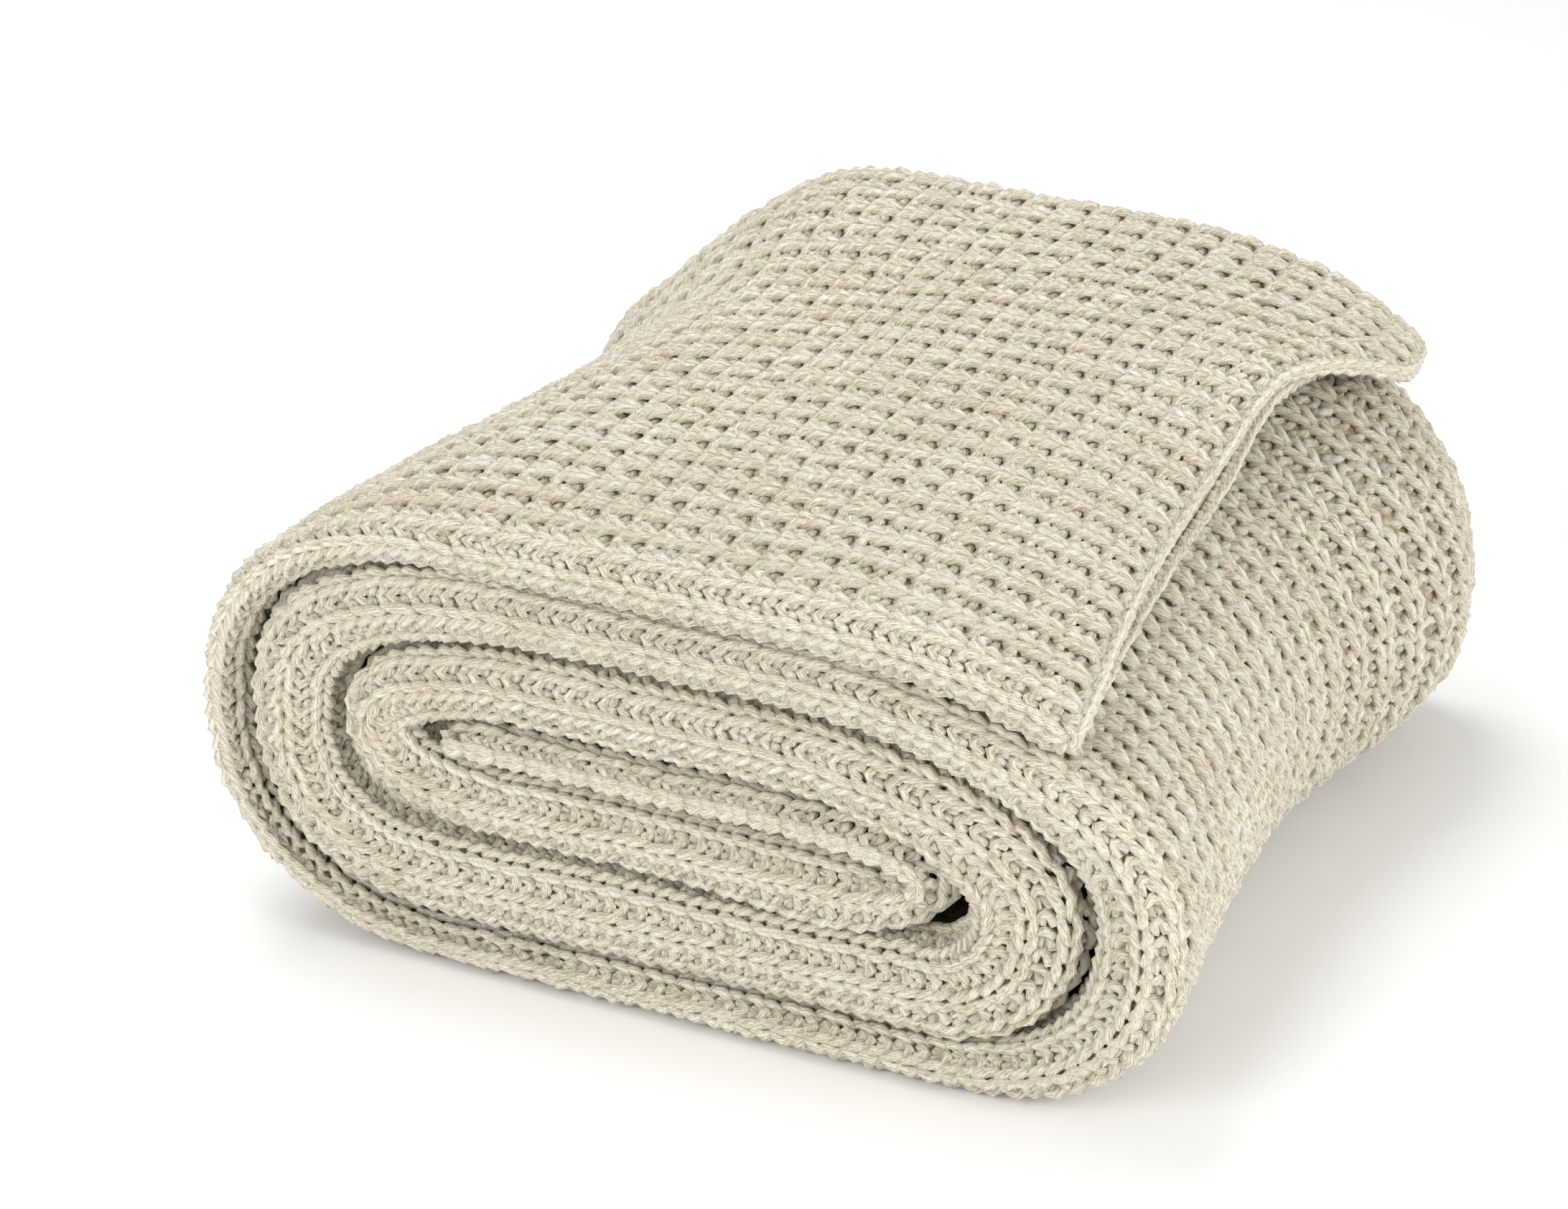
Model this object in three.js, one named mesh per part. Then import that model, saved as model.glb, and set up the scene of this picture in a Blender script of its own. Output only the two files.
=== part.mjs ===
// Throw blanket of thick ribbed knit, folded in quarters along its length and then wound flat.
// Sizes are in millimetres. X runs across the roll, Y from the folds in front to the edges behind, Z up.
import * as THREE from 'three';

// The folded band.
const bandDepth = 330;
const turnGap = 1;
const leafGap = 1.2;
const rollMiddle = -43;
const rollHalf = 174.5;
const rollTop = 170;
const restHeight = 1.2;
const freeEnd = 95;
const innerEnd = -112;

// Level stretches in winding order, from the free end inward: height of the band's middle and thickness.
const runs = [
  { height: 155.7, thick: 21.6 },
  { height: 7.4, thick: 14.8 },
  { height: 133.6, thick: 22 },
  { height: 32.4, thick: 35 },
  { height: 107, thick: 30.4 },
  { height: 62.8, thick: 25 },
  { height: 83.8, thick: 12.4 },
];

// Turns between them, left and right by turns. Reach and thickness hold where the turn stands upright.
// Its upper and its lower half each start from a place on the run, with a squareness of 2 for an ellipse.
const turns = [
  { reach: -213.6, thick: 13, topFrom: -110, topSquare: 2.4, footFrom: -130, footSquare: 2.15 },
  { reach: 116.4, thick: 29, topFrom: -10, topSquare: 2.05, footFrom: 35, footSquare: 2.6 },
  { reach: -187, thick: 36, topFrom: -88, topSquare: 2.65, footFrom: -130, footSquare: 2.35 },
  { reach: 80, thick: 34, topFrom: -14, topSquare: 1.96, footFrom: 43, footSquare: 2.3 },
  { reach: -156, thick: 24, topFrom: -84, topSquare: 2.3, footFrom: -108, footSquare: 2.1 },
  { reach: 46, thick: 8.8, topFrom: -14, topSquare: 1.8, footFrom: 8, footSquare: 2.5 },
];

// How the roll changes along its depth: left side drawn in, right side pushed out, top lifted,
// free end slid further out, its lower leaf slid past the upper one, free end raised off the turn below.
const slices = [
  { y: 0, left: 0, right: 9, top: 0, slide: 0, under: 0, raise: 0 },
  { y: 60, left: 7, right: -2, top: 4, slide: -5, under: 3, raise: 0 },
  { y: 120, left: 20, right: -10, top: 6, slide: -9, under: 4, raise: 0 },
  { y: 180, left: 29, right: -13, top: 6, slide: -12, under: 4, raise: 3 },
  { y: 230, left: 26, right: -4, top: 5, slide: -16, under: 0, raise: 11 },
  { y: 262, left: 13, right: 4, top: 6, slide: -6, under: -12, raise: 10 },
  { y: 290, left: 5, right: 3, top: 7, slide: 6, under: -24, raise: 4 },
  { y: 330, left: 6, right: -13, top: 6, slide: 11, under: -26, raise: 0 },
];

// The back corners of the top sink towards both sides.
const corners = [
  { side: -1, from: -110, over: 60, drop: 18 },
  { side: 1, from: 60, over: 60, drop: 10 },
];

// Reach of the slide and of the raised edge, measured inward from the free end.
const slideReach = 260;
const raiseReach = 110;

// The lowest front folds stand a little forward.
const forwardLean = 0.04;
const forwardHeight = 80;

// Farthest that the drop of a corner and the lift of the top go on beyond their own range.
const cornerLimit = 1.3;
const heightLimit = 1.2;

// Steps of the faceted surface.
const finestStep = 1;
const smoothing = 12;
const turnSteps = 160;
const bendWindow = 4;
const bendStep = THREE.MathUtils.degToRad(12);
const flapStep = 16;
const runStep = 70;
const noseSteps = 6;
const leafRows = [327, 300, 270, 240, 205, 160, 110, 55];
const slitRows = [327, 285, 240, 160, 80];
const tightestInside = 4;

const clamp = THREE.MathUtils.clamp;

// Smooth curve through one column of the slices.
function atDepth(column, y) {
  const at = clamp(y, 0, bandDepth);
  let i = 0;
  while (i < slices.length - 2 && at > slices[i + 1].y) i += 1;
  const slope = (k) => {
    const a = slices[Math.max(k - 1, 0)];
    const b = slices[Math.min(k + 1, slices.length - 1)];
    return (b[column] - a[column]) / (b.y - a.y);
  };
  const [a, b] = [slices[i], slices[i + 1]];
  const span = b.y - a.y;
  const t = (at - a.y) / span;
  const blend = t * t * (3 - 2 * t);
  const leave = slope(i) * span * t * (1 - t) * (1 - t);
  const arrive = slope(i + 1) * span * t * t * (t - 1);
  return a[column] + (b[column] - a[column]) * blend + leave + arrive;
}

// Half a turn of the band's middle line, from one run's height to the other's.
function halfTurn(turn, from, to) {
  const middle = (from.height + to.height) / 2;
  const rise = (from.height - to.height) / 2;
  const points = [];
  for (let i = 0; i <= turnSteps; i += 1) {
    const angle = (Math.PI * i) / turnSteps;
    const across = Math.sin(angle);
    const along = Math.cos(angle);
    const isTop = along * rise > 0;
    const power = 2 / (isTop ? turn.topSquare : turn.footSquare);
    const startX = isTop ? turn.topFrom : turn.footFrom;
    const near = along > 0 ? from : to;
    points.push({
      x: startX + (turn.reach - startX) * across ** power,
      z: middle + rise * Math.sign(along) * Math.abs(along) ** power,
      thick: near.thick + (turn.thick - near.thick) * across,
    });
  }
  return points;
}

// The flap beyond the last turn lies on that turn, so it repeats the turn's curve one band higher.
function flapLine() {
  const turn = halfTurn(turns[1], runs[1], runs[2]);
  const below = turn.slice(turn.length / 2);
  const thick = runs[0].thick;
  const line = below.map((point, i) => {
    const before = below[Math.max(i - 1, 0)];
    const after = below[Math.min(i + 1, below.length - 1)];
    const rise = (thick + point.thick) / 2 / Math.hypot(after.x - before.x, after.z - before.z);
    return { x: point.x + rise * (after.z - before.z), z: point.z - rise * (after.x - before.x), thick };
  });
  return line.filter((point) => point.x < freeEnd);
}

// Middle line of the band, from the free end to the inner end.
function windingLine() {
  const line = flapLine();
  turns.forEach((turn, i) => {
    line.push(...halfTurn(turn, runs[i], runs[i + 1]));
  });
  const last = runs[runs.length - 1];
  line.push({ x: innerEnd, z: last.height, thick: last.thick });
  return line;
}

// The same line in even steps, its joints smoothed, with the outward normal at each step.
function evenLine(line) {
  const run = [0];
  for (let i = 1; i < line.length; i += 1) {
    run.push(run[i - 1] + Math.hypot(line[i].x - line[i - 1].x, line[i].z - line[i - 1].z));
  }
  const total = run[run.length - 1];
  const count = Math.round(total / finestStep);
  const even = [];
  let k = 0;
  for (let i = 0; i <= count; i += 1) {
    const at = (total * i) / count;
    while (k < line.length - 2 && run[k + 1] < at) k += 1;
    const t = (at - run[k]) / Math.max(run[k + 1] - run[k], 1e-9);
    const mix = (name) => line[k][name] + (line[k + 1][name] - line[k][name]) * t;
    even.push({ x: mix('x'), z: mix('z'), thick: mix('thick') });
  }
  const smooth = even.map((point, i) => {
    const reach = Math.min(smoothing / finestStep, i, count - i);
    const sum = { x: 0, z: 0, thick: 0, weight: 0 };
    for (let j = -reach; j <= reach; j += 1) {
      const weight = 1 + Math.cos((Math.PI * j) / (reach + 1));
      sum.x += weight * even[i + j].x;
      sum.z += weight * even[i + j].z;
      sum.thick += weight * even[i + j].thick;
      sum.weight += weight;
    }
    return { x: sum.x / sum.weight, z: sum.z / sum.weight, thick: sum.thick / sum.weight };
  });
  return smooth.map((point, i) => {
    const before = smooth[Math.max(i - 1, 0)];
    const after = smooth[Math.min(i + 1, count)];
    const length = Math.hypot(after.x - before.x, after.z - before.z);
    return { ...point, nx: (after.z - before.z) / length, nz: -(after.x - before.x) / length };
  });
}

const line = evenLine(windingLine());

// Direction of travel at a place on the line.
function heading(i) {
  const at = line[clamp(i, 0, line.length - 1)];
  return Math.atan2(-at.nx, at.nz);
}

// Change of direction between two places.
function bend(i, j) {
  const turned = heading(j) - heading(i);
  return Math.atan2(Math.sin(turned), Math.cos(turned));
}

// Place on the middle line at any distance from the free end, straight on beyond it.
function onLine(distance) {
  const at = clamp(distance / finestStep, 0, line.length - 1.001);
  const i = Math.floor(at);
  const t = at - i;
  const [a, b] = [line[i], line[i + 1]];
  const mix = (name) => a[name] + (b[name] - a[name]) * t;
  const beyond = Math.min(distance, 0);
  return {
    x: mix('x') - a.nz * beyond,
    z: mix('z') + a.nx * beyond,
    nx: mix('nx'),
    nz: mix('nz'),
  };
}

// A point of the cloth: distance along the winding, depth, and distance out from the band's middle.
function clothPoint(along, y, out) {
  const fade = clamp(1 - along / slideReach, 0, 1) ** 2;
  const slide = atDepth('slide', y);
  const from = along - (slide + (out < 0 ? atDepth('under', y) : 0)) * fade;
  const place = onLine(from);
  const edgeFade = clamp(1 - (from + slide) / raiseReach, 0, 1) ** 2;
  const x = place.x + out * place.nx;
  const z = Math.max(place.z + out * place.nz + atDepth('raise', y) * edgeFade, restHeight);
  const leftShare = Math.max(rollMiddle - x, 0) / rollHalf;
  const rightShare = Math.max(x - rollMiddle, 0) / rollHalf;
  const shift = atDepth('left', y) * leftShare + atDepth('right', y) * rightShare ** 2;
  let lift = atDepth('top', y);
  for (const corner of corners) {
    const share = clamp((corner.side * (x - corner.from)) / corner.over, 0, cornerLimit);
    lift -= corner.drop * (y / bandDepth) * share ** 2;
  }
  const height = clamp((z - restHeight) / rollTop, 0, heightLimit);
  const forward = forwardLean * clamp(forwardHeight - z, 0, forwardHeight) * (1 - y / bandDepth);
  return new THREE.Vector3(x + shift, y - forward, z + lift * height);
}

// Section of the folded band: two leaves joined by the front fold and open behind.
function bandSection(thick, insideLimit) {
  const half = (thick - turnGap) / 2;
  const inner = Math.min(half, insideLimit);
  const slit = leafGap / 2;
  const middleOf = (a, b) => (a + b) / 2;
  const section = [];
  for (const y of leafRows) section.push([y, half]);
  for (let i = 0; i <= noseSteps; i += 1) {
    const angle = (Math.PI * i) / noseSteps;
    const reach = Math.cos(angle);
    section.push([half * (1 - Math.sin(angle)), reach * (reach > 0 ? half : inner)]);
  }
  for (const y of [...leafRows].reverse()) section.push([y, -inner]);
  section.push([bandDepth, -middleOf(inner, slit)]);
  for (const y of slitRows) section.push([y, -slit]);
  section.push([half, -slit], [half, slit]);
  for (const y of [...slitRows].reverse()) section.push([y, slit]);
  section.push([bandDepth, middleOf(half, slit)]);
  return section;
}

// Places of the sections: close together in the turns, far apart on the straight runs.
function sectionPlaces() {
  const places = [0];
  let used = 0;
  for (let i = 1; i < line.length - 1; i += 1) {
    const straightStep = i * finestStep < raiseReach ? flapStep : runStep;
    used += Math.abs(bend(i - 1, i)) / bendStep + finestStep / straightStep;
    if (used >= 1) {
      places.push(i);
      used = 0;
    }
  }
  places.push(line.length - 1);
  return places;
}

// Triangles that close one end: the section's outer line is stitched to its slit, step by step.
function endFaces(section) {
  const outerCount = 2 * leafRows.length + noseSteps + 1;
  const outer = section.slice(0, outerCount).map((point, i) => i);
  const inner = section.slice(outerCount).map((point, i) => outerCount + i).reverse();
  const progress = (i) => {
    const [y, out] = section[i];
    return bandDepth - Math.sign(out) * y;
  };
  const faces = [];
  let [i, j] = [0, 0];
  while (i < outer.length - 1 || j < inner.length - 1) {
    const outerNext = i < outer.length - 1 ? progress(outer[i + 1]) : Infinity;
    const innerNext = j < inner.length - 1 ? progress(inner[j + 1]) : Infinity;
    if (outerNext <= innerNext) {
      faces.push([outer[i], outer[i + 1], inner[j]]);
      i += 1;
    } else {
      faces.push([outer[i], inner[j + 1], inner[j]]);
      j += 1;
    }
  }
  return faces;
}

// Closed skin over the row of sections, with a face at each end.
function bandGeometry() {
  const places = sectionPlaces();
  const positions = [];
  let ring = 0;
  for (const i of places) {
    const turned = Math.abs(bend(Math.max(i - bendWindow, 0), Math.min(i + bendWindow, line.length - 1)));
    const radius = turned > 1e-6 ? (2 * bendWindow * finestStep) / turned : Infinity;
    const section = bandSection(line[i].thick, radius - tightestInside);
    ring = section.length;
    for (const [y, out] of section) positions.push(...clothPoint(i * finestStep, y, out).toArray());
  }
  const faces = [];
  for (let i = 0; i < places.length - 1; i += 1) {
    for (let j = 0; j < ring; j += 1) {
      const next = (j + 1) % ring;
      const [a, b] = [i * ring + j, i * ring + next];
      const [c, d] = [a + ring, b + ring];
      faces.push(a, d, b, a, c, d);
    }
  }
  const end = endFaces(bandSection(runs[0].thick, Infinity));
  const lastRing = (places.length - 1) * ring;
  for (const [a, b, c] of end) {
    faces.push(a, b, c);
    faces.push(lastRing + c, lastRing + b, lastRing + a);
  }
  const geometry = new THREE.BufferGeometry();
  geometry.setAttribute('position', new THREE.Float32BufferAttribute(positions, 3));
  geometry.setIndex(faces);
  return geometry;
}

// The knitted throw, set down with the middle of its underside at the origin.
function throwMesh() {
  const geometry = bandGeometry();
  geometry.computeBoundingBox();
  const box = geometry.boundingBox;
  const middle = box.getCenter(new THREE.Vector3());
  geometry.translate(-middle.x, -middle.y, -box.min.z);
  geometry.computeVertexNormals();
  const wool = new THREE.MeshStandardMaterial({ color: 0xe6dfcf, roughness: 0.95, metalness: 0 });
  const mesh = new THREE.Mesh(geometry, wool);
  mesh.name = 'throw';
  return mesh;
}

const blanket = new THREE.Group();
blanket.add(throwMesh());

export default blanket;
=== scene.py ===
# Throw blanket in a thick soft rib knit, folded in quarters and wound flat.
import math

import bpy
import numpy as np
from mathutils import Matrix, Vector


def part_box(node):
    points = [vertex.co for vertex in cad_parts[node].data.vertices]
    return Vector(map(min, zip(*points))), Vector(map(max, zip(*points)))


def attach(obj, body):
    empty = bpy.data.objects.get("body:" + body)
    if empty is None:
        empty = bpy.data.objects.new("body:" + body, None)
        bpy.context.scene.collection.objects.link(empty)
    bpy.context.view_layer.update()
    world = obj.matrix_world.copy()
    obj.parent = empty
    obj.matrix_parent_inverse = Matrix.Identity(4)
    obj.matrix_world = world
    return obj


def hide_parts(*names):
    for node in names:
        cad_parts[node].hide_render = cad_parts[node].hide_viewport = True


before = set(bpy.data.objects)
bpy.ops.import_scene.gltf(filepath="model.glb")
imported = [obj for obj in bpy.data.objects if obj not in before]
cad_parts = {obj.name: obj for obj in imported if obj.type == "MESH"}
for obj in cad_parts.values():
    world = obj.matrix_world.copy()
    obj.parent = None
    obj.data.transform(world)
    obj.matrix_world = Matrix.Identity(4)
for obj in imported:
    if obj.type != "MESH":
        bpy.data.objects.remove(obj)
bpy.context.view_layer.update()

print("frame loaded")

mm = 0.001  # one millimetre in the frame's metres

# The folded band as it is wound, in millimetres: X across the roll, Y from the front folds back, Z up.
roll = {
    "depth": 330.0,
    "turnGap": 1.0,  # between neighbouring turns
    "leafGap": 1.2,  # between the band's two leaves
    "middle": -43.0,
    "halfWidth": 174.5,
    "top": 170.0,
    "rest": 1.2,  # height at which the underside lies flat
    "freeEnd": 95.0,
    "innerEnd": -112.0,
    "slideReach": 260.0,  # along the band, how far the free end's sliding is felt, and its raising
    "raiseReach": 110.0,
    "forwardLean": 0.04,  # the front leans forward below this height
    "forwardHeight": 80.0,
    "cornerLimit": 1.3,  # shares past which a corner sinks, and the top lifts, no further
    "liftLimit": 1.2,
    "turnPoints": 161,
    "smoothing": 12,
    "bendWindow": 9,  # millimetres over which a bend is measured
    "leastBend": 1e-4,
    "tightestInside": 4.0,  # radius that the inside of a bend keeps
    "seatSteps": (2.0, 3.0),  # along and in depth, to find the lowest point
}

# Level runs from the free end inward: height of the band's middle, thickness.
runTable = [
    (155.7, 21.6),
    (7.4, 14.8),
    (133.6, 22.0),
    (32.4, 35.0),
    (107.0, 30.4),
    (62.8, 25.0),
    (83.8, 12.4),
]

# Turns between them, left and right by turns: reach and thickness where the turn stands upright, then the
# start and the squareness of its upper half, and of its lower half.
turnTable = [
    (-213.6, 13.0, -110, 2.4, -130, 2.15),
    (116.4, 29.0, -10, 2.05, 35, 2.6),
    (-187.0, 36.0, -88, 2.65, -130, 2.35),
    (80.0, 34.0, -14, 1.96, 43, 2.3),
    (-156.0, 24.0, -84, 2.3, -108, 2.1),
    (46.0, 8.8, -14, 1.8, 8, 2.5),
]

# The roll along its depth: left side drawn in, right side pushed out, top lifted, free end slid out,
# its lower leaf slid past the upper one, free end raised.
sliceNames = ("y", "left", "right", "top", "slide", "under", "raise")
sliceTable = np.array([
    (0, 0, 9, 0, 0, 0, 0),
    (60, 7, -2, 4, -5, 3, 0),
    (120, 20, -10, 6, -9, 4, 0),
    (180, 29, -13, 6, -12, 4, 3),
    (230, 26, -4, 5, -16, 0, 11),
    (262, 13, 4, 6, -6, -12, 10),
    (290, 5, 3, 7, 6, -24, 4),
    (330, 6, -13, 6, 11, -26, 0),
], dtype=float)

# Back corners of the top: side, where the sinking starts, over what width, how much.
cornerTable = [(-1, -110.0, 60.0, 18.0), (1, 60.0, 60.0, 10.0)]


def rampUp(value, start, over):  # 0 up to the start, then evenly up to 1
    return np.clip((value - start) / over, 0, 1)


def ease(share):  # smooth way from 0 to 1
    return share * share * (3 - 2 * share)


def atDepth(name, y):  # smooth curve through one column of the slice table
    rows = sliceTable[:, 0]
    values = sliceTable[:, sliceNames.index(name)]
    last = len(rows) - 1
    slope = np.array([
        (values[min(k + 1, last)] - values[max(k - 1, 0)]) / (rows[min(k + 1, last)] - rows[max(k - 1, 0)])
        for k in range(last + 1)
    ])
    at = np.clip(y, 0.0, roll["depth"])
    i = np.clip(np.searchsorted(rows, at, side="right") - 1, 0, last - 1)
    span = rows[i + 1] - rows[i]
    t = (at - rows[i]) / span
    leave = slope[i] * span * t * (1 - t) ** 2
    arrive = slope[i + 1] * span * t * t * (t - 1)
    return values[i] + (values[i + 1] - values[i]) * ease(t) + leave + arrive


def halfTurn(turn, first, second):  # half a turn of the band's middle line, as x, z, thickness
    reach, thick, topFrom, topSquare, footFrom, footSquare = turn
    angle = np.linspace(0, math.pi, roll["turnPoints"])
    across, along = np.abs(np.sin(angle)), np.cos(angle)
    rise = (first[0] - second[0]) / 2
    isTop = along * rise > 0
    power = 2 / np.where(isTop, topSquare, footSquare)
    start = np.where(isTop, topFrom, footFrom)
    near = np.where(along > 0, first[1], second[1])
    x = start + (reach - start) * across ** power
    z = (first[0] + second[0]) / 2 + rise * np.sign(along) * np.abs(along) ** power
    return np.stack([x, z, near + (thick - near) * across], axis=-1)


def directions(points):  # unit steps along a line of points
    way = np.gradient(points, axis=0)
    return way / np.linalg.norm(way, axis=1)[:, None]


def flapLine():  # the flap lies on the turn below, so it repeats that turn's curve one band higher
    turn = halfTurn(turnTable[1], runTable[1], runTable[2])
    below = turn[len(turn) // 2:]
    way = directions(below[:, :2])
    lift = (runTable[0][1] + below[:, 2]) / 2
    x, z = below[:, 0] + lift * way[:, 1], below[:, 1] - lift * way[:, 0]
    upper = np.stack([x, z, np.full_like(x, runTable[0][1])], axis=-1)
    return upper[x < roll["freeEnd"]]


def windingLine():  # evenly stepped middle line with its outward normals, one step a millimetre
    parts = [flapLine()]
    for i, turn in enumerate(turnTable):
        parts.append(halfTurn(turn, runTable[i], runTable[i + 1]))
    parts.append(np.array([(roll["innerEnd"], *runTable[-1])]))
    line = np.concatenate(parts)
    run = np.concatenate([[0], np.cumsum(np.linalg.norm(np.diff(line[:, :2], axis=0), axis=1))])
    count = round(run[-1])
    at = np.linspace(0, run[-1], count + 1)
    even = np.stack([np.interp(at, run, line[:, k]) for k in range(3)], axis=-1)
    smooth = np.empty_like(even)
    for i in range(count + 1):
        reach = min(roll["smoothing"], i, count - i)
        j = np.arange(-reach, reach + 1)
        weight = 1 + np.cos(math.pi * j / (reach + 1))
        smooth[i] = weight @ even[i + j] / weight.sum()
    way = directions(smooth[:, :2])
    return smooth, np.stack([way[:, 1], -way[:, 0]], axis=-1)


line, outward = windingLine()
windLength = len(line) - 1
steps = np.arange(len(line))
heading = np.unwrap(np.arctan2(outward[:, 1], outward[:, 0]))
window = np.ones(roll["bendWindow"]) / roll["bendWindow"]
evenHeading = np.convolve(np.pad(heading, len(window) // 2, mode="edge"), window, "valid")
bendRate = np.abs(np.gradient(evenHeading))
insideLimit = 1 / np.maximum(bendRate, roll["leastBend"]) - roll["tightestInside"]


def halfThick(along):  # half the band's thickness, less its share of the space between turns
    return (np.interp(along, steps, line[:, 2]) - roll["turnGap"]) / 2


def clothPoint(along, y, out):  # along the winding from the free end, depth, out from the band's middle
    along, y, out = np.broadcast_arrays(*(np.asarray(v, dtype=float) for v in (along, y, out)))
    fade = np.clip(1 - along / roll["slideReach"], 0, 1) ** 2
    slide = atDepth("slide", y)
    at = along - (slide + np.where(out < 0, atDepth("under", y), 0)) * fade
    edgeFade = np.clip(1 - (at + slide) / roll["raiseReach"], 0, 1) ** 2
    beyond = at - np.clip(at, 0, windLength)
    out = np.maximum(out, -np.interp(at, steps, insideLimit))
    nx, nz = (np.interp(at, steps, outward[:, k]) for k in range(2))
    x = np.interp(at, steps, line[:, 0]) - nz * beyond + out * nx
    z = np.interp(at, steps, line[:, 1]) + nx * beyond + out * nz + atDepth("raise", y) * edgeFade
    z = np.maximum(z, roll["rest"])
    leftShare = np.maximum(roll["middle"] - x, 0) / roll["halfWidth"]
    rightShare = np.maximum(x - roll["middle"], 0) / roll["halfWidth"]
    shift = atDepth("left", y) * leftShare + atDepth("right", y) * rightShare ** 2
    lift = atDepth("top", y)
    backShare = np.clip(y / roll["depth"], 0, 1)
    for side, start, over, drop in cornerTable:
        sideShare = np.clip(side * (x - start) / over, 0, roll["cornerLimit"])
        lift = lift - drop * backShare * sideShare ** 2
    height = np.clip((z - roll["rest"]) / roll["top"], 0, roll["liftLimit"])
    low = np.clip(roll["forwardHeight"] - z, 0, roll["forwardHeight"])
    forward = roll["forwardLean"] * low * (1 - y / roll["depth"])
    return np.stack([x + shift, y - forward, z + lift * height], axis=-1)


def seatOffset():  # from the winding's own coordinates to the frame's, worked out where both are lowest
    alongStep, depthStep = roll["seatSteps"]
    along, y = np.meshgrid(np.arange(0, windLength, alongStep), np.arange(0, roll["depth"], depthStep))
    skin = clothPoint(along, y, halfThick(along)).reshape(-1, 3)
    front = clothPoint(steps, 0, 0)
    lowest = np.minimum(skin.min(axis=0), front.min(axis=0))
    return np.array(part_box("throw")[0]) / mm - lowest


offset = seatOffset()


def placed(points):  # millimetres of the winding to metres of the frame
    return (points + offset) * mm


# The knit, in millimetres: a wale of plain stitches and one of purl stitches beside it are one repeat.
# Courses go in pairs: the second of each pair lies closer to the first and its purl stitch sinks behind.
knit = {
    "wale": 14.5,  # width of the repeat
    "course": 6.2,
    "yarn": 3.9,
    "sides": 5,  # round the yarn, and points in one repeat of it
    "samples": 18,
    "coarseSides": 4,  # the same where little of it shows
    "coarseSamples": 12,
    "level": -3.5,  # middle of the yarn below the cloth's surface
    "plainProud": 1.25,  # how far the plain wale stands out, on the leaves and round the front fold
    "foldProud": 0.5,
    "pairing": 0.14,  # share of a course
    "sunk": 1.25,  # how far the purl stitch of a pair's second course sinks, on the leaves and the fold
    "foldSunk": 0.8,
    "foldFrom": 12.0,  # way across over which the fold's relief becomes the leaf's
    "foldOver": 15.0,
    "foldSwell": 0.7,  # how much the inner knit swells at the folds, and more on its leaves
    "swell": 1.5,
    "swellOver": 12.0,
    "leastRadius": 0.3,
    "leafWales": 24,  # repeats from the fold's middle to the back, and round either half of the fold
    "foldWales": 2,
    "edgeWales": 1,  # either side of a rounded edge
    "firstCourse": 6.0,
    "flapReach": 50.0,  # stitches of the flap's lower leaf end here
    "exposedEnd": 860.0,  # past it only the folds and edges of the band show
    "innerReach": 12.0,  # stitches go on past the inner end
    "seed": 11,
}

# Where the soft cloth fills the hollows of the turns: way along the winding, reach either side, leaf
# (1 outer, -1 inner), how much it bulges. The bulge begins off the middle of the front fold.
plump = {"start": 4.0, "over": 10.0}
plumpTable = [
    (758.0, 90.0, -1, 2.2),
    (1436.0, 90.0, 1, 2.2),
    (1436.0, 90.0, -1, 5.0),
    (1895.0, 90.0, 1, 5.5),
    (1697.0, 60.0, -1, 3.0),
]


# Surfaces of the band. The distance across is measured on the cloth from the middle of the front fold,
# positive over the outer leaf and negative over the inner one; out is the height above the cloth.
def bandSurface(along, across, out):
    half = halfThick(along)
    side = np.where(across < 0, -1.0, 1.0)
    quarter = half * math.pi / 2
    isInner = np.maximum(across < 0, along > knit["exposedEnd"])
    swelling = knit["foldSwell"] * isInner
    for place, reach, leaf, bulge in plumpTable:
        near = np.clip(1 - np.abs(along - place) / reach, 0, 1)
        swelling = swelling + bulge * (side == leaf) * ease(near)
    out = out + swelling * rampUp(np.abs(across), plump["start"], plump["over"])
    out = out + knit["swell"] * isInner * rampUp(np.abs(across), quarter, knit["swellOver"])
    turned = np.clip(across / half, -math.pi / 2, math.pi / 2)
    back = (half - roll["leafGap"] / 2) / 2
    y = half + np.abs(across) - quarter
    over = np.clip((y - roll["depth"] + back) / back, 0, math.pi)
    noseRadius = np.maximum(half + out, knit["leastRadius"])
    backRadius = np.maximum(back + out, knit["leastRadius"])
    onNose = np.abs(across) < quarter
    onBack = over > 0
    backAt = roll["depth"] - back + backRadius * np.sin(over)
    yAt = np.where(onNose, half - noseRadius * np.cos(turned), np.where(onBack, backAt, y))
    outAt = np.where(
        onNose,
        noseRadius * np.sin(turned),
        side * np.where(onBack, half - back + backRadius * np.cos(over), half + out),
    )
    return placed(clothPoint(along, yAt, outAt))


# Courses sit closer on the inner turns: way along the winding, share of the usual distance.
pitchTable = np.array([(0, 1.0), (850, 1.02), (1100, 0.95), (windLength, 0.93)])


def coursePitch(along):
    return knit["course"] * np.interp(along, pitchTable[:, 0], pitchTable[:, 1])


def courseRows(first, last):  # places of the courses along the winding, with 1 for the second of a pair
    rows = [first]
    while rows[-1] < last:
        rows.append(rows[-1] + float(coursePitch(rows[-1])))
    return np.stack([rows[:-1], np.arange(len(rows) - 1) % 2], axis=-1)


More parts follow.
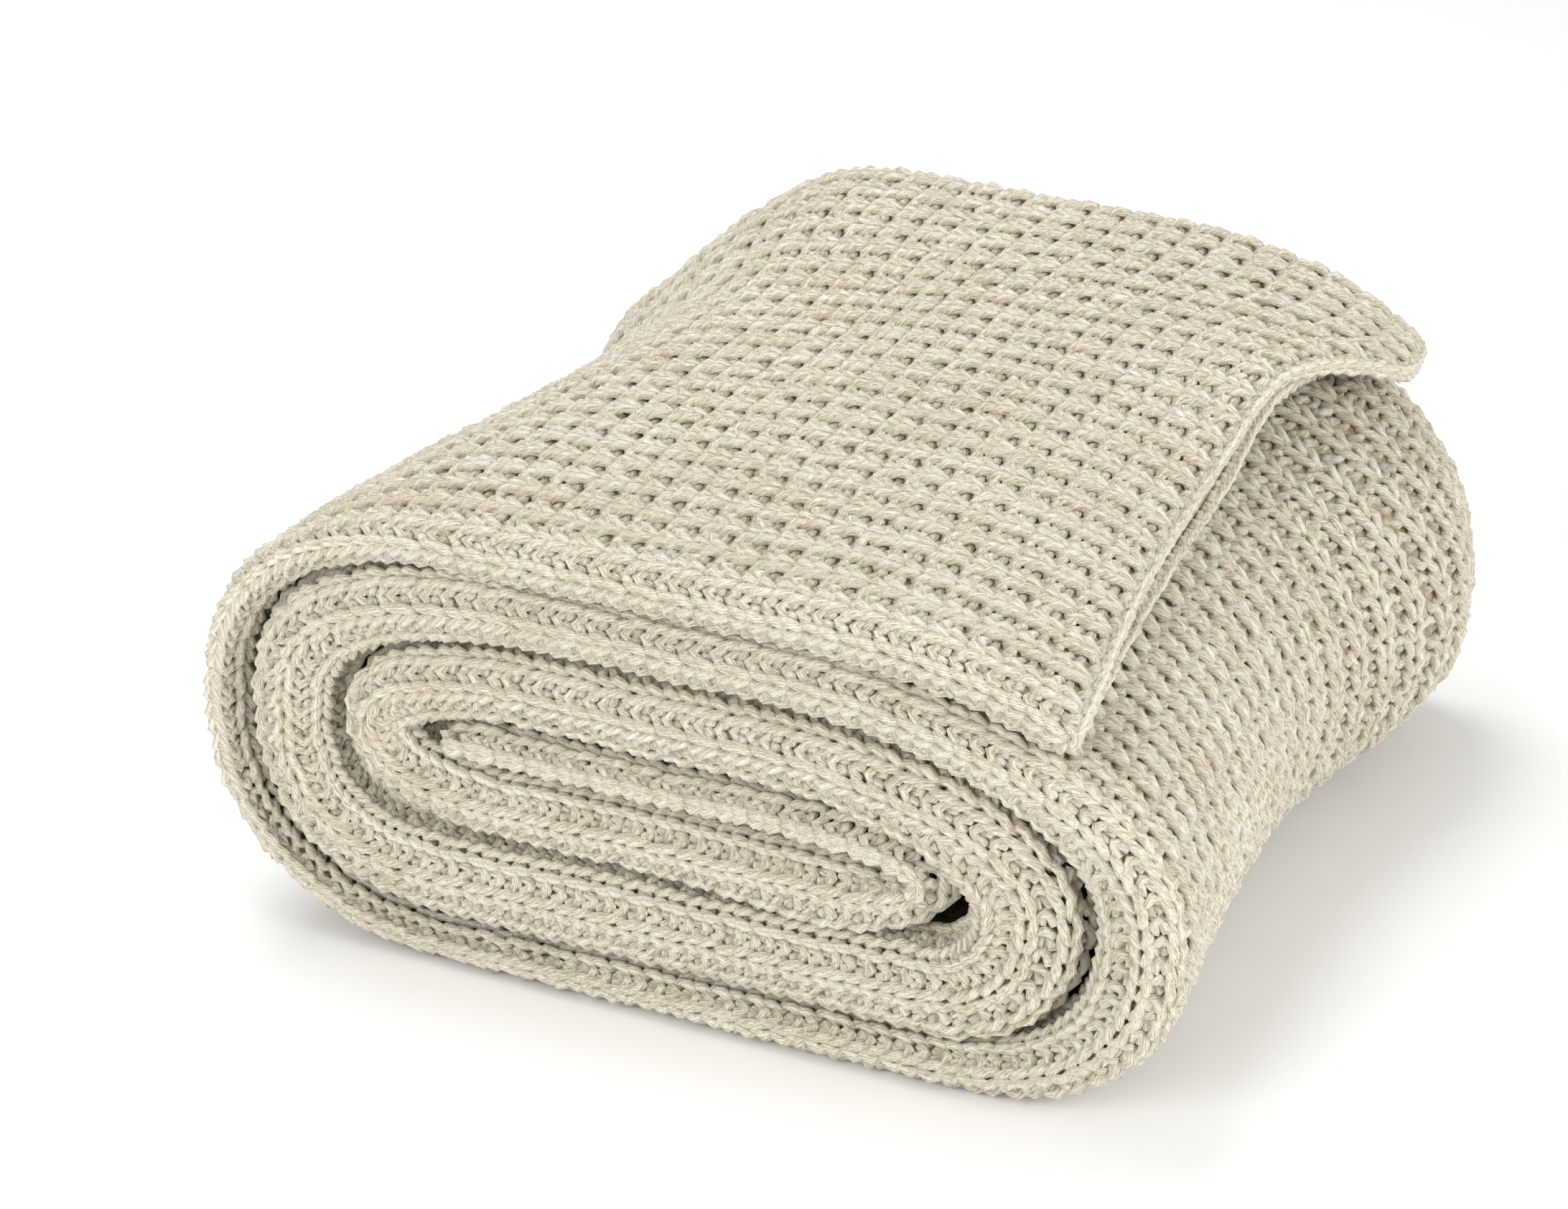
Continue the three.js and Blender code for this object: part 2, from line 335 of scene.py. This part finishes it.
# Half a repeat of the yarn's way through the knit, from the middle of a plain stitch's head to the middle
# of a purl stitch's head: across in repeats, along in courses, out in millimetres.
stitchTable = np.array([
    (0.00, 1.05, -1.6),
    (0.10, 1.00, -1.3),
    (0.19, 0.85, -0.2),
    (0.22, 0.60, 1.4),
    (0.17, 0.30, 2.0),
    (0.10, -0.05, 1.3),
    (0.07, -0.35, -0.4),
    (0.12, -0.53, -1.5),
    (0.25, -0.58, 0.0),
    (0.38, -0.53, 1.5),
    (0.43, -0.35, 0.4),
    (0.40, -0.05, -1.3),
    (0.33, 0.30, -2.0),
    (0.28, 0.60, -1.4),
    (0.31, 0.85, 0.2),
    (0.40, 1.00, 1.4),
    (0.50, 1.05, 1.7),
])


def stitchRepeat(samples, betweenKnots=12):  # the repeat, evenly sampled on a curve through the table
    mirror = stitchTable[-2:0:-1] * (-1, 1, 1) + (1, 0, 0)
    knots = np.concatenate([stitchTable, mirror])
    around = np.concatenate([knots[-1:] - (1, 0, 0), knots, knots[:2] + (1, 0, 0)])
    a, b, c, d = (around[k:k + len(knots), None, :] for k in range(4))
    t = np.linspace(0, 1, betweenKnots, endpoint=False)[None, :, None]
    curved = (2 * a - 5 * b + 4 * c - d) * t ** 2
    fine = 0.5 * (2 * b + (c - a) * t + curved + (3 * b - a - 3 * c + d) * t ** 3)
    fine = np.concatenate([fine.reshape(-1, 3), knots[:1] + (1, 0, 0)])
    size = (knit["wale"], knit["course"], 1)
    run = np.concatenate([[0], np.cumsum(np.linalg.norm(np.diff(fine * size, axis=0), axis=1))])
    at = np.linspace(0, run[-1], samples + 1)[:-1]
    return np.stack([np.interp(at, run, fine[:, k]) for k in range(3)], axis=-1)


repeatPath = stitchRepeat(knit["samples"])
coarsePath = stitchRepeat(knit["coarseSamples"])


# The wales of the top bow toward the front, from this place along the winding on, in millimetres.
bow = {"by": 32.0, "start": 100.0, "over": 190.0, "width": 345.0, "power": 1.5}

# Unevenness of the knit, in millimetres: from loop to loop, and a slow drift over many stitches.
uneven = {
    "loopAcross": 0.4,
    "loopAlong": 0.3,
    "loopOut": 0.3,
    "driftAcross": 1.2,
    "driftAlong": 1.2,
    "driftOut": 0.4,
    "acrossSeed": 3,
    "alongSeed": 4,
    "outSeed": 5,
}

# The four waves of the drift: millimetres along and across in which each goes on by one radian.
driftTable = [(37, 61), (71, -29), (17, 83), (113, 19)]

rng = np.random.default_rng(knit["seed"])


def drift(along, across, seed):  # slow unevenness of the knit, between -1 and 1
    phases = np.random.default_rng(seed).uniform(0, 2 * math.pi, len(driftTable))
    waves = sum(np.sin(along / a + across / b + phase) for (a, b), phase in zip(driftTable, phases))
    return waves / len(driftTable)


def courseYarns(rows, firstWale, lastWale, surface, path=repeatPath):  # one yarn a course
    wales = np.arange(firstWale, lastWale)
    across = (wales[:, None] + path[:, 0]).reshape(-1) * knit["wale"]
    along = np.tile(path[:, 1], len(wales))
    out = np.tile(path[:, 2], len(wales))
    stitches = np.arange(2 * len(wales) + 1)
    loops = np.linspace(0, stitches[-1], len(across))
    jitter = rng.normal(0, 1, (3, len(rows), len(stitches)))
    wander = np.array([[np.interp(loops, stitches, row) for row in kind] for kind in jitter])
    place, second = rows[:, :1], rows[:, 1:]
    pitch = coursePitch(place)
    acrossAt = across[None, :] + uneven["loopAcross"] * wander[0]
    alongAt = place + (along[None, :] - knit["pairing"] * second) * pitch + uneven["loopAlong"] * wander[1]
    acrossAt = acrossAt + uneven["driftAcross"] * drift(alongAt, acrossAt, uneven["acrossSeed"])
    pulled = rampUp(alongAt, bow["start"], bow["over"])
    share = rampUp(acrossAt, 0, bow["width"]) ** bow["power"]
    acrossAt = acrossAt - bow["by"] * ease(pulled) * np.sin(math.pi * share)
    alongAt = alongAt + uneven["driftAlong"] * drift(alongAt, acrossAt, uneven["alongSeed"])
    rib = np.cos(2 * math.pi * across / knit["wale"])[None, :]
    fromFold = rampUp(np.abs(acrossAt), knit["foldFrom"], knit["foldOver"])
    sunk = (knit["foldSunk"] + (knit["sunk"] - knit["foldSunk"]) * fromFold) * second * (1 - rib) / 2
    proud = (knit["foldProud"] + (knit["plainProud"] - knit["foldProud"]) * fromFold) * rib
    wavy = uneven["loopOut"] * wander[2] + uneven["driftOut"] * drift(alongAt, acrossAt, uneven["outSeed"])
    outAt = out[None, :] + proud - sunk + wavy
    points = surface(alongAt, acrossAt, knit["level"] + outAt)
    points[..., 2] = np.maximum(points[..., 2], knit["yarn"] / 2 * mm)
    return np.concatenate([points, outAt[..., None]], axis=-1)


def hexColor(text):  # sRGB hex to linear
    value = [int(text[i:i + 2], 16) / 255 for i in (1, 3, 5)]
    return [c / 12.92 if c <= 0.04045 else ((c + 0.055) / 1.055) ** 2.4 for c in value] + [1.0]


def addNode(tree, kind, settings=None, inputs=None):  # inputs: socket name or index to a value or a socket
    node = tree.nodes.new(kind)
    for key, value in (settings or {}).items():
        setattr(node, key, value)
    for key, value in (inputs or {}).items():
        if isinstance(value, bpy.types.NodeSocket):
            tree.links.new(value, node.inputs[key])
        else:
            node.inputs[key].default_value = value
    return node


def setRamp(node, first, last):  # both ends of a colour ramp, each a place and a hex colour
    for element, (position, colour) in zip(node.color_ramp.elements, (first, last)):
        element.position = position
        element.color = hexColor(colour)


def plainMesh(name, points, faces=(), edges=()):
    mesh = bpy.data.meshes.new(name)
    mesh.from_pydata(np.asarray(points).reshape(-1, 3).tolist(), edges, faces)
    mesh.update()
    thing = bpy.data.objects.new(name, mesh)
    bpy.context.scene.collection.objects.link(thing)
    return thing


def yarnTree():  # a tube round every path, with the way along and round it kept for the material
    tree = bpy.data.node_groups.new("yarn along a path", "GeometryNodeTree")
    face = tree.interface
    face.new_socket("Geometry", in_out="INPUT", socket_type="NodeSocketGeometry")
    face.new_socket("Radius", in_out="INPUT", socket_type="NodeSocketFloat")
    face.new_socket("Sides", in_out="INPUT", socket_type="NodeSocketInt")
    face.new_socket("Material", in_out="INPUT", socket_type="NodeSocketMaterial")
    face.new_socket("Geometry", in_out="OUTPUT", socket_type="NodeSocketGeometry")
    given = addNode(tree, "NodeGroupInput")
    path = addNode(tree, "GeometryNodeMeshToCurve", inputs={"Mesh": given.outputs["Geometry"]})
    place = addNode(tree, "GeometryNodeSplineParameter")
    store = {"data_type": "FLOAT", "domain": "POINT"}
    along = addNode(tree, "GeometryNodeStoreNamedAttribute", store,
                    {"Geometry": path.outputs["Curve"], "Name": "along", "Value": place.outputs["Length"]})
    ring = addNode(tree, "GeometryNodeCurvePrimitiveCircle", {"mode": "RADIUS"},
                   {"Resolution": given.outputs["Sides"], "Radius": given.outputs["Radius"]})
    angle = addNode(tree, "ShaderNodeMath", {"operation": "MULTIPLY"},
                    {0: place.outputs["Factor"], 1: 2 * math.pi})
    shaped = ring.outputs["Curve"]
    for name, operation in (("roundX", "COSINE"), ("roundY", "SINE")):
        value = addNode(tree, "ShaderNodeMath", {"operation": operation}, {0: angle.outputs[0]})
        kept = addNode(tree, "GeometryNodeStoreNamedAttribute", store,
                       {"Geometry": shaped, "Name": name, "Value": value.outputs[0]})
        shaped = kept.outputs["Geometry"]
    tube = addNode(tree, "GeometryNodeCurveToMesh", inputs={
        "Curve": along.outputs["Geometry"], "Profile Curve": shaped, "Fill Caps": True})
    soft = addNode(tree, "GeometryNodeSetShadeSmooth", inputs={"Geometry": tube.outputs["Mesh"]})
    real = addNode(tree, "GeometryNodeRealizeInstances", inputs={"Geometry": soft.outputs["Geometry"]})
    dyed = addNode(tree, "GeometryNodeSetMaterial",
                   inputs={"Geometry": real.outputs["Geometry"], "Material": given.outputs["Material"]})
    addNode(tree, "NodeGroupOutput", inputs={"Geometry": dyed.outputs["Geometry"]})
    return tree


def yarnPiece(name, bundles, radius, sides):  # bundles: yarns x points x (x, y, z, height in the knit)
    points, edges, start = [], [], 0
    for bundle in bundles:
        yarns, count = bundle.shape[:2]
        index = start + np.arange(yarns * count).reshape(yarns, count)
        points.append(bundle.reshape(-1, 4))
        edges.append(np.stack([index[:, :-1], index[:, 1:]], axis=-1).reshape(-1, 2))
        start += yarns * count
    points = np.concatenate(points)
    paths = plainMesh(name + " paths", points[:, :3], edges=np.concatenate(edges).tolist())
    # the height in the knit is kept for the material's painted shade where the yarn dips behind its
    # neighbours
    height = paths.data.attributes.new("height", "FLOAT", "POINT")
    height.data.foreach_set("value", points[:, 3])
    modifier = paths.modifiers.new("yarn", "NODES")
    modifier.node_group = yarnNodes
    values = {"Radius": radius * mm, "Sides": sides, "Material": wool}
    for item in yarnNodes.interface.items_tree:
        if item.in_out == "INPUT" and item.name in values:
            modifier[item.identifier] = values[item.name]
    evaluated = paths.evaluated_get(bpy.context.evaluated_depsgraph_get())
    mesh = bpy.data.meshes.new_from_object(evaluated)
    mesh.name = name
    bpy.data.objects.remove(paths)
    piece = bpy.data.objects.new(name, mesh)
    bpy.context.scene.collection.objects.link(piece)
    print(name, len(mesh.polygons), "faces")
    return piece


# Soft multi-strand yarn, spun cotton and wool, undyed: matt and cream, with fine strands running slantwise
# round it, darker between the strands partly by its own uneven tone and partly by painted shade, and with
# painted shade where it dips behind its neighbours. The strands go once round the yarn in 26 mm and are
# drawn about 0.4 mm wide and 5 mm long, coarser than real ones, so that they show.
fibre = {
    "light": "#FEF8E9",
    "mid": "#BDAA84",
    "paintedDipShade": "#6C563A",
    "midAt": 0.38,  # where the noise gives either colour
    "lightAt": 0.56,
    "deepest": -3.8,  # height in the knit, in millimetres, where the painted shade in the dips is full, and where it ends
    "highest": 0.1,
    "twist": 26.0,
    "strandScale": 5.4,  # round the yarn, on a circle of radius 1
    "stretch": 36.0,
    "patchScale": 45.0,  # patches about 22 mm wide
    "patchShare": 0.08,
    "relief": 1.2,
}


def yarnMaterial(name):
    made = bpy.data.materials.new(name)
    made.use_nodes = True
    tree = made.node_tree
    tree.nodes.clear()
    along, roundX, roundY, height = (
        addNode(tree, "ShaderNodeAttribute", {"attribute_name": word}).outputs["Fac"]
        for word in ("along", "roundX", "roundY", "height")
    )
    twist = addNode(tree, "ShaderNodeMath", {"operation": "MULTIPLY"},
                    {0: along, 1: 2 * math.pi / (fibre["twist"] * mm)})
    flat = addNode(tree, "ShaderNodeCombineXYZ", inputs={"X": roundX, "Y": roundY})
    turned = addNode(tree, "ShaderNodeVectorRotate", {"rotation_type": "Z_AXIS"},
                     {"Vector": flat.outputs[0], "Angle": twist.outputs[0]})
    lengthwise = addNode(tree, "ShaderNodeMath", {"operation": "MULTIPLY"}, {0: along, 1: fibre["stretch"]})
    lift = addNode(tree, "ShaderNodeCombineXYZ", inputs={"Z": lengthwise.outputs[0]})
    strand = addNode(tree, "ShaderNodeVectorMath", {"operation": "ADD"},
                     {0: turned.outputs[0], 1: lift.outputs[0]})
    fibres = addNode(tree, "ShaderNodeTexNoise", {"noise_dimensions": "3D"}, {
        "Vector": strand.outputs[0], "Scale": fibre["strandScale"], "Detail": 3.0, "Roughness": 0.65})
    place = addNode(tree, "ShaderNodeTexCoord")
    patches = addNode(tree, "ShaderNodeTexNoise", {"noise_dimensions": "3D"},
                      {"Vector": place.outputs["Object"], "Scale": fibre["patchScale"], "Detail": 2.0})
    patchy = addNode(tree, "ShaderNodeMath", {"operation": "MULTIPLY_ADD"},
                     {0: patches.outputs["Fac"], 1: fibre["patchShare"], 2: -fibre["patchShare"] / 2})
    mixed = addNode(tree, "ShaderNodeMath", {"operation": "ADD"},
                    {0: fibres.outputs["Fac"], 1: patchy.outputs[0]})
    # partly the yarn's own uneven tone and partly painted shade: the strand noise that raises the bump also
    # lightens the colour, so the hollows between strands are darker
    colour = addNode(tree, "ShaderNodeValToRGB", inputs={"Fac": mixed.outputs[0]})
    setRamp(colour, (fibre["midAt"], fibre["mid"]), (fibre["lightAt"], fibre["light"]))
    depth = addNode(tree, "ShaderNodeMapRange", inputs={
        "Value": height, "From Min": fibre["deepest"], "From Max": fibre["highest"],
        "To Min": 0.0, "To Max": 1.0})
    # painted shade: the colour is darkened by the yarn's height in the knit, most where it dips behind its
    # neighbours
    paintedShade = addNode(tree, "ShaderNodeValToRGB", inputs={"Fac": depth.outputs[0]})
    setRamp(paintedShade, (0.0, fibre["paintedDipShade"]), (1.0, "#FFFFFF"))
    shaded = addNode(tree, "ShaderNodeMix", {"data_type": "RGBA", "blend_type": "MULTIPLY"},
                     {0: 1.0, 6: colour.outputs["Color"], 7: paintedShade.outputs["Color"]})
    bump = addNode(tree, "ShaderNodeBump", inputs={
        "Height": fibres.outputs["Fac"], "Strength": 0.8, "Distance": fibre["relief"] * mm})
    shader = addNode(tree, "ShaderNodeBsdfPrincipled", inputs={
        "Base Color": shaded.outputs[2], "Roughness": 0.95, "Normal": bump.outputs["Normal"],
        "Specular IOR Level": 0.25, "Sheen Weight": 0.3, "Sheen Roughness": 0.6})
    addNode(tree, "ShaderNodeOutputMaterial", inputs={"Surface": shader.outputs[0]})
    return made


# The cloth itself: one sheet in four plies, folded twice, under the stitches. Sizes in millimetres.
ground = {
    "inset": 3.9,  # of the outer plies below the band's surface
    "least": 1.7,
    "plyGap": 0.5,
    "back": 4.8,
    "rows": 20,  # points along each ply, then round the bends
    "outerBend": 7,
    "innerBend": 5,
    "backBend": 3,
    "places": 150,  # sections along the winding, closer together where it turns
    "turnStep": 8.0,  # degrees, and below it millimetres for the straight way
    "straightStep": 45.0,
    "endInset": 3.0,
    # painted shade: the ground's colours are the yarn's, darkened for the shade that lies behind the
    # stitches
    "dark": "#94836A",
    "light": "#CBBCA0",
    "darkAt": 0.35,
    "lightAt": 0.7,
    "tuftScale": 420.0,  # tufts about 2.4 mm wide
    "relief": 1.0,
}


# Knitted of the same undyed yarn: matt, and seen only as a tufted ground between the stitches, its tufts
# varying the tone and its darkness below the yarn's painted shade.
def groundMaterial(name):
    made = bpy.data.materials.new(name)
    made.use_nodes = True
    tree = made.node_tree
    tree.nodes.clear()
    place = addNode(tree, "ShaderNodeTexCoord")
    tufts = addNode(tree, "ShaderNodeTexNoise", inputs={
        "Vector": place.outputs["Object"], "Scale": ground["tuftScale"], "Detail": 3.0, "Roughness": 0.65})
    colour = addNode(tree, "ShaderNodeValToRGB", inputs={"Fac": tufts.outputs["Fac"]})
    setRamp(colour, (ground["darkAt"], ground["dark"]), (ground["lightAt"], ground["light"]))
    bump = addNode(tree, "ShaderNodeBump", inputs={
        "Height": tufts.outputs["Fac"], "Strength": 0.8, "Distance": ground["relief"] * mm})
    shader = addNode(tree, "ShaderNodeBsdfPrincipled", inputs={
        "Base Color": colour.outputs["Color"], "Roughness": 0.97, "Normal": bump.outputs["Normal"],
        "Specular IOR Level": 0.2})
    addNode(tree, "ShaderNodeOutputMaterial", inputs={"Surface": shader.outputs[0]})
    return made


def plyLine(half):  # middle of the four plies in one section, from raw edge to raw edge, and its thickness
    outer = max(half - ground["inset"], ground["least"])
    thick = (outer - roll["leafGap"] / 2 - ground["plyGap"]) / 2
    far = outer - thick / 2
    near = roll["leafGap"] / 2 + thick / 2
    rawY = roll["depth"] - ground["back"]
    foldY = rawY - (far - near) / 2 - thick / 2
    straight = np.linspace(0, 1, ground["rows"])

    def run(start, end, out):
        return np.stack([start + (end - start) * straight, np.full_like(straight, out)], axis=-1)

    def bend(y, middle, radius, facing, count):
        angle = np.linspace(-math.pi / 2, math.pi / 2, count + 2)[1:-1]
        return np.stack([y + facing * radius * np.cos(angle), middle + radius * np.sin(angle)], axis=-1)

    return np.concatenate([
        run(rawY, half, -far),
        bend(half, 0, far, -1, ground["outerBend"]),
        run(half, foldY, far),
        bend(foldY, (far + near) / 2, (far - near) / 2, 1, ground["backBend"])[::-1],
        run(foldY, half, near),
        bend(half, 0, near, -1, ground["innerBend"])[::-1],
        run(half, rawY, -near),
    ]), thick


def groundSheet():
    turned = np.cumsum(bendRate) / math.radians(ground["turnStep"]) + steps / ground["straightStep"]
    sections = np.interp(np.linspace(0, turned[-1], ground["places"]), turned, steps)
    sections[0], sections[-1] = ground["endInset"], windLength - ground["endInset"]
    rings = []
    for at in sections:
        middle, thick = plyLine(float(halfThick(at)))
        way = directions(middle)
        side = np.stack([-way[:, 1], way[:, 0]], axis=-1) * thick / 2
        ring = np.concatenate([middle + side, (middle - side)[::-1]])
        rings.append(placed(clothPoint(at, ring[:, 0], ring[:, 1])))
    size = len(rings[0])
    faces = []
    for i in range(len(rings) - 1):
        for j in range(size):
            a, b = i * size + j, i * size + (j + 1) % size
            faces.append((a, b, b + size, a + size))
    last = (len(rings) - 1) * size
    for j in range(size // 2 - 1):  # both ends are closed across the plies
        a, b, c, d = j, j + 1, size - 2 - j, size - 1 - j
        faces.append((a, d, c, b))
        faces.append((last + d, last + a, last + b, last + c))
    sheet = plainMesh("cloth-plies", np.concatenate(rings), faces=faces)
    sheet.data.shade_smooth()
    sheet.data.materials.append(groundMaterial("undyed cotton and wool knit in painted shade"))
    print("cloth-plies", len(faces), "faces")
    return sheet


# Cast-off edge of the free end: one row of stitches turned over each leaf's end, round the front fold.
hem = {
    "middle": 0.5,  # share of the band's half thickness
    "radius": 3.5,
    "inward": 1.5,
    "flatter": 0.8,  # share of the knit's relief
    "backInset": 1.0,
    "endInset": 2.0,
}

# Raw edges of the inner leaf's two plies at the back.
backEdge = {
    "middles": (0.75, 0.25),  # shares of the leaf's thickness, and so is the radius
    "radius": 0.25,
    "flatter": 0.6,  # share of the knit's relief
    "leastRadius": 0.25,
    "yarn": 0.85,  # share of the usual yarn's thickness
}


def aroundEdge(across, radius):  # angle round an edge of this radius, and the way left past it
    angle = np.clip(across / radius, -math.pi / 2, math.pi / 2)
    return angle, np.maximum(np.abs(across) - math.pi / 2 * radius, 0)


def edgeStraight():  # straight length of the cast-off edge on either leaf
    return roll["depth"] - float(halfThick(0)) - hem["backInset"]


def edgeLength():
    return 2 * edgeStraight() + math.pi * hem["middle"] * float(halfThick(0))


def freeEdge(along, across, out):  # along runs forward on the upper leaf and back on the lower one
    half = float(halfThick(0))
    straight = edgeStraight()
    middle = hem["middle"] * half
    radius = np.maximum(hem["radius"] + hem["flatter"] * out, knit["leastRadius"])
    angle, rest = aroundEdge(across, hem["radius"])
    turned = np.clip((along - straight) / middle, 0, math.pi)
    deep = np.where(along < straight, straight - along, np.maximum(along - straight - math.pi * middle, 0))
    away = middle + radius * np.sin(angle)
    inward = hem["inward"] - radius * np.cos(angle) + rest
    return placed(clothPoint(inward, half + deep - np.sin(turned) * away, np.cos(turned) * away))


def rawEdge(middle):  # surface of one ply's raw edge at the back
    def surface(along, across, out):
        leaf = halfThick(along) - roll["leafGap"] / 2
        plain = backEdge["radius"] * leaf
        radius = np.maximum(plain + backEdge["flatter"] * out, backEdge["leastRadius"])
        angle, rest = aroundEdge(across, plain)
        y = roll["depth"] - plain + radius * np.cos(angle) - rest
        away = roll["leafGap"] / 2 + middle * leaf + radius * np.sin(angle)
        return placed(clothPoint(along, y, -away))
    return surface


def backFold(along, across, out):  # fold that joins the outer leaf's two plies at the back
    half = halfThick(along)
    plain = (half - roll["leafGap"] / 2) / 2
    radius = np.maximum(plain + out, backEdge["leastRadius"])
    angle, rest = aroundEdge(across, plain)
    y = roll["depth"] - plain + radius * np.cos(angle) - rest
    return placed(clothPoint(along, y, half - plain + radius * np.sin(angle)))


def middleHalf(yarns):  # only the middle half of each yarn's points
    count = yarns.shape[1]
    return yarns[:, count // 4:count - count // 4 + 1]


yarnNodes = yarnTree()
wool = yarnMaterial("undyed cotton and wool yarn")
yarnRadius = knit["yarn"] / 2
leaf, fold, edge = knit["leafWales"], knit["foldWales"], knit["edgeWales"]

# Stretches of the knit along the winding, one piece each, from the free end to where only the folds show.
stretchTable = [
    ("knit-top-right", 0.0, 150.0),
    ("knit-top-left", 150.0, 290.0),
    ("knit-left-side", 290.0, 385.0),
    ("knit-underside", 385.0, 520.0),
    ("knit-right-side-low", 520.0, 690.0),
    ("knit-right-side-high", 690.0, knit["exposedEnd"]),
]
allRows = courseRows(knit["firstCourse"], windLength + knit["innerReach"])
places = allRows[:, 0]
innerRows = allRows[places >= knit["exposedEnd"]]
flapRows = allRows[places < knit["flapReach"]]
pieces = []
for name, start, end in stretchTable:
    rows = allRows[(places >= start) & (places < end)]
    if name == "knit-underside":  # out of sight, so it is drawn coarser
        bundle = [
            courseYarns(rows, fold, leaf, bandSurface, coarsePath),
            courseYarns(rows, -fold, fold, bandSurface, coarsePath),
        ]
        pieces.append(yarnPiece(name, bundle, yarnRadius, knit["coarseSides"]))
    else:
        bundle = [courseYarns(rows, -fold, leaf, bandSurface)]
        pieces.append(yarnPiece(name, bundle, yarnRadius, knit["sides"]))

ends = [
    courseYarns(innerRows, -fold, fold, bandSurface),
    courseYarns(flapRows, -leaf, -fold, bandSurface, coarsePath),
]
pieces.append(yarnPiece("knit-at-the-front-folds", ends, yarnRadius, knit["sides"]))

backs = [courseYarns(innerRows, -edge, edge, backFold, coarsePath)]
for middle in backEdge["middles"]:
    backs.append(middleHalf(courseYarns(allRows, -edge, edge, rawEdge(middle), coarsePath)))
backRadius = yarnRadius * backEdge["yarn"]
pieces.append(yarnPiece("knit-at-the-back-edges", backs, backRadius, knit["coarseSides"]))

edgePlaces = np.arange(hem["endInset"], edgeLength() - hem["endInset"], knit["course"])
edgeRows = np.stack([edgePlaces, np.zeros_like(edgePlaces)], axis=-1)
castOff = [middleHalf(courseYarns(edgeRows, -edge, edge, freeEdge))]
pieces.append(yarnPiece("cast-off-edge", castOff, yarnRadius, knit["sides"]))

sheet = groundSheet()
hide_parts("throw")
for piece in [sheet, *pieces]:
    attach(piece, "root")


# Camera at the photo's angle: focal length and frame width in the photo's pixels, the rest in millimetres
# and degrees, and the aim in the winding's own coordinates.
view = {
    "focal": 7300.0,
    "frameWidth": 2184.0,
    "sensor": 36.0,
    "azimuth": 25.6,
    "elevation": 27.0,
    "distance": 1640.0,
    "aim": (0.0, 0.0, 164.5),
}


def setCamera():
    azimuth, elevation = math.radians(view["azimuth"]), math.radians(view["elevation"])
    level = math.cos(elevation)
    back = Vector((math.sin(azimuth) * level, -math.cos(azimuth) * level, math.sin(elevation)))
    data = bpy.data.cameras.new("camera")
    data.sensor_width = view["sensor"]
    data.lens = view["sensor"] * view["focal"] / view["frameWidth"]
    camera = bpy.data.objects.new("camera", data)
    camera.location = Vector(placed(np.array(view["aim"]))) + back * (view["distance"] * mm)
    camera.rotation_euler = (-back).to_track_quat("-Z", "Y").to_euler()
    bpy.context.scene.collection.objects.link(camera)
    bpy.context.scene.camera = camera


# Soft studio light: round panels above, in front and on the right, each with its place and width in metres
# and its power in watts, in white surroundings on a pale matt floor.
lampTable = [
    ("top panel", (-0.6, 0.4, 1.6), 1.2, 14.5),
    ("front panel", (-0.5, -1.7, 0.9), 1.4, 18.0),
    ("right panel", (1.7, -0.4, 0.8), 1.4, 20.5),
]
studio = {"surroundings": 0.47, "floorReach": 6000.0, "floorDrop": 0.8}


def setLights():
    for name, place, size, power in lampTable:
        data = bpy.data.lights.new(name, "AREA")
        data.shape = "DISK"
        data.size = size
        data.energy = power
        lamp = bpy.data.objects.new(name, data)
        lamp.location = place
        lamp.rotation_euler = (-Vector(place)).to_track_quat("-Z", "Y").to_euler()
        bpy.context.scene.collection.objects.link(lamp)
    world = bpy.data.worlds.new("studio")
    world.use_nodes = True
    background = world.node_tree.nodes["Background"]
    background.inputs["Color"].default_value = hexColor("#FFFFFF")
    background.inputs["Strength"].default_value = studio["surroundings"]
    bpy.context.scene.world = world


def setFloor():
    reach, z = studio["floorReach"] * mm, -studio["floorDrop"] * mm
    corners = [(-reach, -reach, z), (reach, -reach, z), (reach, reach, z), (-reach, reach, z)]
    floor = plainMesh("floor", corners, faces=[(0, 1, 2, 3)])
    made = bpy.data.materials.new("pale floor")
    made.use_nodes = True
    shader = made.node_tree.nodes["Principled BSDF"]
    shader.inputs["Base Color"].default_value = hexColor("#FCFCFB")
    shader.inputs["Roughness"].default_value = 0.8
    floor.data.materials.append(made)


setCamera()
setLights()
setFloor()
bpy.context.scene.view_settings.view_transform = "Standard"
print("camera, light and floor set")
